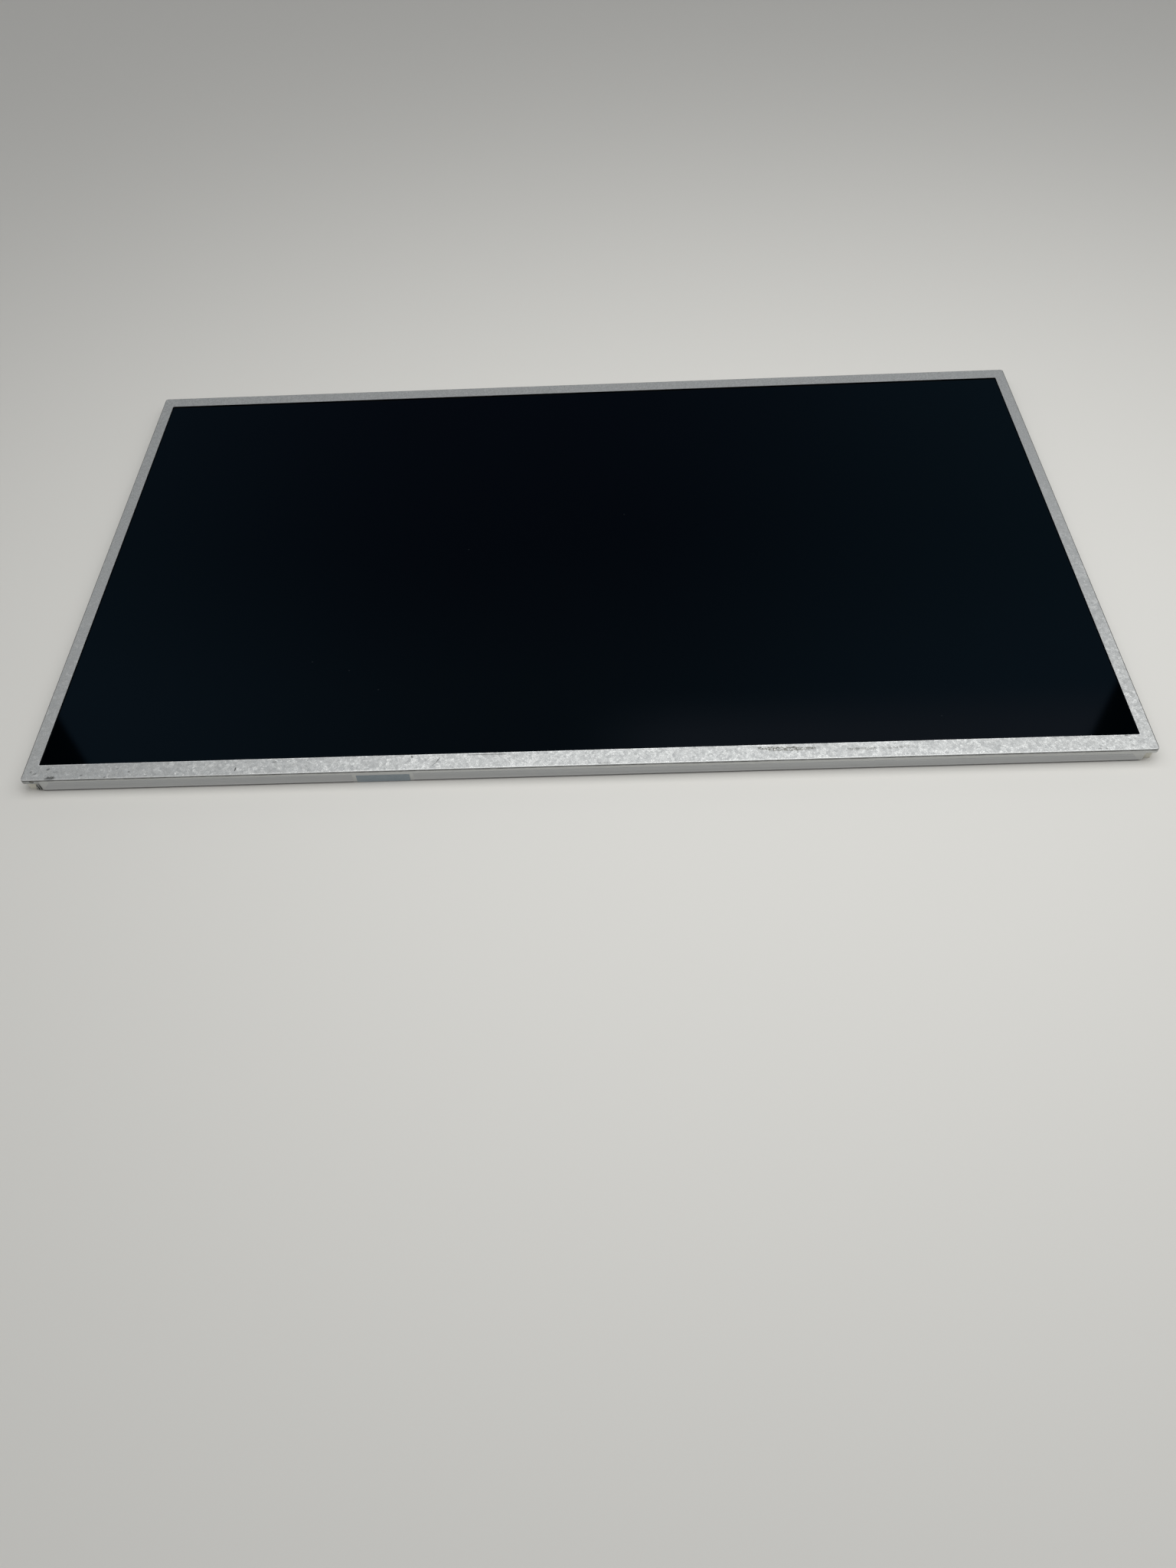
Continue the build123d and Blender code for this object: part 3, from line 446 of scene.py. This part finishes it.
def nut_steel():
    dark, pale = (0.45, 0.44, 0.41, 1), (0.66, 0.65, 0.60, 1)
    return rolled_metal("nut_steel", dark, pale, 0.34, (900, 90, 900), 2)


def tinned_steel():
    dark, pale = (0.60, 0.60, 0.58, 1), (0.78, 0.78, 0.76, 1)
    return rolled_metal("tinned_steel", dark, pale, 0.30, (60, 1800, 1800), 3)


def gold_contact():
    dark, pale = (0.66, 0.48, 0.17, 1), (0.86, 0.68, 0.32, 1)
    return rolled_metal("gold_contact", dark, pale, 0.26, (900, 120, 900), 1)


def moulded(name, dark, pale, rough, cloud_mm, grain_mm, depth_mm):
    """A matt moulding: a cloudy tone over a fine grain."""
    s = Finish(name)
    cloud = s.noise(s.point, cloud_mm * mm, 3.0)
    grain = s.noise(s.point, grain_mm * mm, 2.0)
    shade = s.math("ADD", s.math("MULTIPLY", cloud, 0.6), s.math("MULTIPLY", grain, 0.4))
    return s.surface({"Base Color": s.mix(s.ramp(shade, 0.3, 0.7), dark, pale),
                      "Roughness": s.ramp(shade, 0.2, 0.8, rough + 0.08, rough - 0.05),
                      "Normal": s.bump(grain, depth_mm * mm, 0.4)})


def black_tape():
    return moulded("black_tape", (0.012, 0.012, 0.013, 1), (0.022, 0.022, 0.023, 1), 0.45, 8, 0.3, 0.01)


def white_film():
    return moulded("white_film", (0.82, 0.83, 0.84, 1), (0.90, 0.90, 0.90, 1), 0.5, 20, 0.2, 0.005)


def rear_polarizer_film():
    dark, pale = (0.04, 0.045, 0.05, 1), (0.06, 0.065, 0.07, 1)
    return moulded("rear_polarizer_film", dark, pale, 0.22, 30, 0.2, 0.002)


def driver_silicon():
    return moulded("driver_silicon", (0.12, 0.13, 0.15, 1), (0.20, 0.21, 0.23, 1), 0.2, 3, 0.1, 0.002)


def chip_plastic():
    return moulded("chip_plastic", (0.018, 0.018, 0.019, 1), (0.034, 0.034, 0.035, 1), 0.55, 2, 0.12, 0.02)


def ferrite():
    return moulded("ferrite", (0.07, 0.07, 0.075, 1), (0.13, 0.13, 0.135, 1), 0.6, 1.5, 0.15, 0.02)


def connector_plastic():
    return moulded("connector_plastic", (0.55, 0.51, 0.41, 1), (0.66, 0.62, 0.52, 1), 0.45, 3, 0.15, 0.01)


def clear_layer(name, tint, rough, ridge_mm):
    """A clear layer with fine lines along the panel; the lines are a little rougher than the gaps."""
    s = Finish(name)
    y = s.axes(s.point)[1]
    ridge = s.math("PINGPONG", y, ridge_mm * mm)
    share = s.math("DIVIDE", ridge, ridge_mm * mm)
    cloud = s.noise(s.point, 25 * mm, 2.0)
    colour = s.mix(cloud, tint, (0.93, 0.95, 0.95, 1))
    return s.surface({"Base Color": colour, "Roughness": s.ramp(share, 0.0, 1.0, rough, rough + 0.1),
                      "Transmission Weight": 0.9, "IOR": 1.5, "Normal": s.bump(share, 0.004 * mm, 0.3)})


def clear_sheet():
    return clear_layer("clear_sheet", (0.86, 0.89, 0.90, 1), 0.18, 0.05)


def glass():
    return clear_layer("glass", (0.80, 0.88, 0.85, 1), 0.04, 0.3)


def traced(name, ground, conductor, pitch_mm, across, rough):
    """Conductors under a coating: parallel lines at a fixed pitch across one axis, broken here and there."""
    s = Finish(name)
    place = s.axes(s.point)[across]
    line = s.math("PINGPONG", place, pitch_mm * mm / 2)
    line = s.ramp(s.math("DIVIDE", line, pitch_mm * mm / 2), 0.42, 0.58)
    blocks = s.ramp(s.noise(s.point, pitch_mm * 40 * mm, 1.0), 0.47, 0.53)
    line = s.math("MULTIPLY", line, blocks)
    cloud = s.noise(s.point, 9 * mm, 2.0)
    colour = s.mix(s.math("MULTIPLY", line, 0.6), ground, conductor)
    colour = s.mix(s.ramp(cloud, 0.3, 0.7, 0.0, 0.2), colour, (0.02, 0.02, 0.02, 1))
    return s.surface({"Base Color": colour, "Roughness": s.ramp(cloud, 0.2, 0.8, rough + 0.06, rough - 0.04),
                      "Normal": s.bump(line, 0.012 * mm, 0.4)})


def flex_circuit():
    return traced("flex_circuit", (0.38, 0.19, 0.04, 1), (0.62, 0.36, 0.12, 1), 0.16, 0, 0.35)


def lamp_flex():
    return traced("lamp_flex", (0.74, 0.74, 0.70, 1), (0.80, 0.77, 0.66, 1), 0.6, 1, 0.42)


def circuit_board():
    return traced("circuit_board", (0.016, 0.10, 0.045, 1), (0.05, 0.20, 0.09, 1), 0.4, 1, 0.38)


def lamp_body():
    """White lamp package with a yellow lens on the face towards the light guide."""
    s = Finish("lamp_body")
    _, lamp_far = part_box("lamps")
    lens = s.ramp(s.axes(s.point)[1], lamp_far.y - 0.12 * mm, lamp_far.y - 0.06 * mm)
    cloud = s.noise(s.point, 0.6 * mm, 2.0)
    white = s.mix(cloud, (0.78, 0.78, 0.75, 1), (0.88, 0.88, 0.85, 1))
    yellow = s.mix(cloud, (0.72, 0.60, 0.08, 1), (0.82, 0.72, 0.16, 1))
    return s.surface({"Base Color": s.mix(lens, white, yellow),
                      "Roughness": s.ramp(cloud, 0.2, 0.8, 0.45, 0.35)})


def capacitor_ceramic():
    """Tan ceramic bodies with tinned ends, repeated at the pitch of the row."""
    s = Finish("capacitor_ceramic")
    low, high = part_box("board_capacitors")
    body_mm, columns = 1.6, 7
    pitch = (high.x - low.x - body_mm * mm) / (columns - 1)
    along = s.math("MODULO", s.math("SUBTRACT", s.axes(s.point)[0], low.x), pitch)
    past = s.math("ABSOLUTE", s.math("SUBTRACT", along, body_mm * mm / 2))
    tinned = s.ramp(past, 0.48 * mm, 0.54 * mm)
    cloud = s.noise(s.point, 0.4 * mm, 2.0)
    tan = s.mix(cloud, (0.36, 0.25, 0.15, 1), (0.47, 0.34, 0.22, 1))
    colour = s.mix(tinned, tan, (0.70, 0.70, 0.68, 1))
    return s.surface({"Base Color": colour, "Metallic": tinned,
                      "Roughness": s.ramp(cloud, 0.2, 0.8, 0.5, 0.35)})


# The finish of each node, and the nodes that share it
finishes = {
    galvanised_steel: ["front_bezel"],
    cream_plastic: ["mould_frame"],
    nut_steel: ["side_nuts"],
    polarizer_film: ["front_polarizer"],
    rear_polarizer_film: ["rear_polarizer"],
    glass: ["filter_glass", "array_glass"],
    driver_silicon: ["source_drivers"],
    flex_circuit: ["source_flex_left", "source_flex_right"],
    black_tape: ["rim_tape", "board_tape"],
    white_film: ["upper_diffuser", "lower_diffuser", "reflector_sheet"],
    clear_sheet: ["lower_prism_sheet", "upper_prism_sheet", "light_guide"],
    lamp_flex: ["lamp_flex"],
    lamp_body: ["lamps"],
    aluminium_sheet: ["rear_cover"],
    circuit_board: ["driver_board"],
    chip_plastic: ["timing_controller", "memory_chip", "lamp_driver"],
    ferrite: ["power_inductors"],
    capacitor_ceramic: ["board_capacitors"],
    connector_plastic: ["lamp_connector", "video_connector"],
    tinned_steel: ["connector_shell"],
    gold_contact: ["connector_contacts"],
    cover_film: ["cover_film"],
    earthing_tape: ["earthing_tape"],
}
for finish, names in finishes.items():
    material = finish()
    for name in names:
        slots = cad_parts[name].data.materials
        slots.clear()
        slots.append(material)


def grid_mesh(name, points):
    """A mesh from an array of points, rows by columns; each square of the grid is one face."""
    rows, columns = points.shape[:2]
    index = np.arange(rows * columns).reshape(rows, columns)
    corners = [index[:-1, :-1], index[:-1, 1:], index[1:, 1:], index[1:, :-1]]
    faces = np.stack(corners, axis=-1).reshape(-1, 4)
    mesh = bpy.data.meshes.new(name)
    mesh.from_pydata(points.reshape(-1, 3).tolist(), [], faces.tolist())
    mesh.shade_smooth()
    made = bpy.data.objects.new(name, mesh)
    bpy.context.scene.collection.objects.link(made)
    return made


def make_table():
    """A flat square, large enough to fill every view."""
    side = np.array([-table_half_mm, table_half_mm]) * mm
    points = np.stack([*np.meshgrid(side, side), np.zeros((2, 2))], axis=-1)
    table = grid_mesh("table", points)
    s = Finish("table")
    cloud = s.noise(s.point, 0.5, 3.0)
    tint = s.mix(cloud, tuple(0.985 * c for c in table_colour[:3]) + (1,), table_colour)
    table.data.materials.append(s.surface({"Base Color": tint, "Roughness": 0.55}))


def make_light():
    """One large soft lamp overhead, and a soft room around it with a dim panel and a darker side."""
    lamp = bpy.data.lights.new("softbox", "AREA")
    lamp.shape = "RECTANGLE"
    lamp.size, lamp.size_y = (side * mm for side in softbox_size_mm)
    lamp.energy = softbox_watts
    softbox = bpy.data.objects.new("softbox", lamp)
    softbox.location = Vector(softbox_place_mm) * mm
    bpy.context.scene.collection.objects.link(softbox)
    world = bpy.data.worlds.new("room")
    world.use_nodes = True
    bpy.context.scene.world = world
    w = Nodes(world.node_tree)
    background = world.node_tree.nodes["Background"]
    x, y, z = w.axes(w.add("ShaderNodeTexCoord").outputs["Generated"])[:3]
    turn = w.math("ARCTAN2", x, y)
    aside = w.math("ABSOLUTE", w.math("ADD", turn, 0.027))
    # A dim panel stands high behind the screen, between darker gaps, and the driver side is darker
    flag = w.math("MULTIPLY", w.band(z, 0.47, 0.80, 0.05), w.ramp(aside, 0.94, 0.84))
    panel = w.ramp(aside, 0.6175, 0.6095)
    rise = w.math("DIVIDE", z, w.math("MAXIMUM", y, 0.1))
    sideways = w.ramp(w.math("ABSOLUTE", w.math("ADD", turn, 0.10)), 0.05, 0.6)
    lower = w.mix(sideways, (0.020, 0.029, 0.052, 1), (0.034, 0.068, 0.103, 1))
    higher = w.mix(sideways, (0.036, 0.060, 0.090, 1), (0.052, 0.096, 0.150, 1))
    glow = w.mix(w.ramp(rise, 0.80, 1.15), lower, higher)
    upper = w.math("MULTIPLY", w.ramp(rise, 1.09, 1.20), w.ramp(turn, -0.08, 0.12))
    glow = w.mix(upper, glow, (0.110, 0.140, 0.195, 1))
    dim = w.mix(panel, (0.002, 0.005, 0.009, 1), glow)
    room = w.mix(w.ramp(z, 0.0, 1.0), (0.50, 0.50, 0.50, 1), (0.59, 0.59, 0.59, 1))
    behind = w.math("MULTIPLY", w.ramp(y, 0.3, -0.9), w.ramp(z, 0.62, 0.40))
    room = w.mix(flag, w.mix(behind, room, (0.15, 0.15, 0.15, 1)), dim)
    w.tree.links.new(room, background.inputs["Color"])


def make_camera():
    """The camera that took the four corners of the panel to their places in the frame."""
    lens = bpy.data.cameras.new("camera")
    lens.sensor_width = sensor_mm
    lens.lens = focal_px / frame_height_px * sensor_mm
    lens.clip_start = 0.01
    camera = bpy.data.objects.new("camera", lens)
    right, up = Vector(camera_right), Vector(camera_up)
    turn = Matrix((right, up, right.cross(up))).transposed().to_4x4()
    camera.matrix_world = Matrix.Translation(Vector(camera_place_mm) * mm) @ turn
    bpy.context.scene.collection.objects.link(camera)
    bpy.context.scene.camera = camera


make_table()
make_light()
make_camera()
bpy.context.scene.view_settings.view_transform = "Standard"
